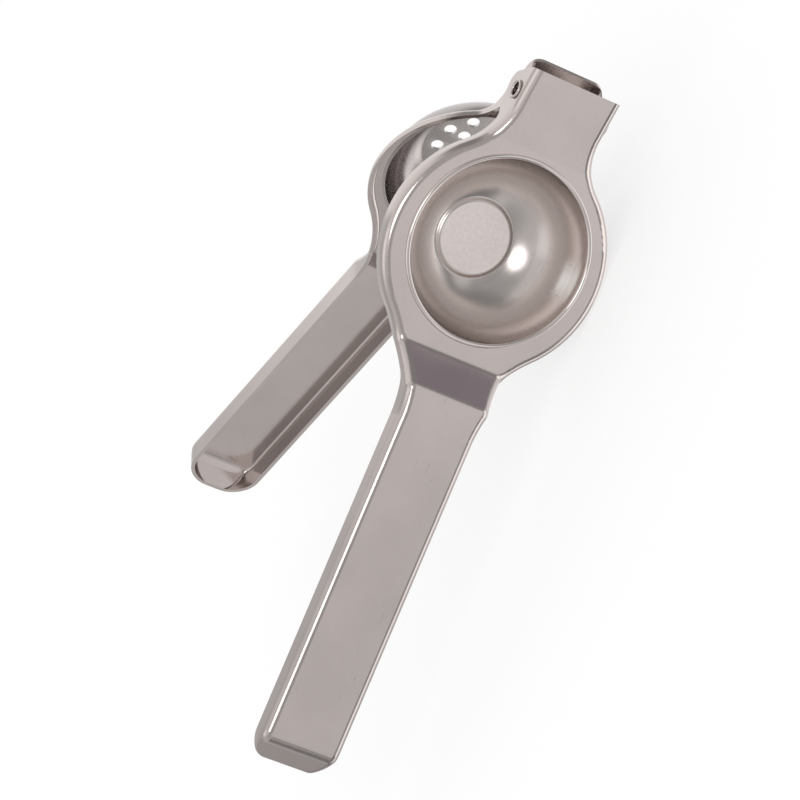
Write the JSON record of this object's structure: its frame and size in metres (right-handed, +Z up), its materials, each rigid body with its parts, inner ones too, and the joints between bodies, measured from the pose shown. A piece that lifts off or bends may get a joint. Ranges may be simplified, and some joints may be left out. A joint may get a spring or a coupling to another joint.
{
  "type": "hinged lemon squeezer",
  "caption": "Hinged hand squeezer for citrus: two stamped steel lever arms, one with a round press bowl, the other with a perforated strainer bowl that it closes into.",
  "frame": {"origin": "on the surface that the squeezer lies on, under the middle of its box at rest", "axes": "+Z up, along the hinge axis; +Y along the press arm towards the hinge; +X out of the press arm's open bowl, away from the strainer arm"},
  "size_m": [0.1548, 0.2182, 0.0708],
  "materials": {
    "satin_steel": "stamped stainless sheet, tumbled to a soft satin",
    "bowl_steel": "drawn stainless, polished inside with a matt bottom",
    "rivet_steel": "plain rolled rivet heads"
  },
  "bodies": {
    "press": {"press_arm": "satin_steel", "press_bowl": "bowl_steel", "hinge_rivets": "rivet_steel"},
    "strainer": {"strainer_arm": "satin_steel", "strainer_bowl": "bowl_steel"}
  },
  "joints": [
    {"name": "hinge", "type": "hinge", "parent": "press", "child": "strainer", "pos_m": [0.05937, 0.09816, 0.0354], "axis": [0, 0, -1], "range_deg": [-37, 52]}
  ]
}
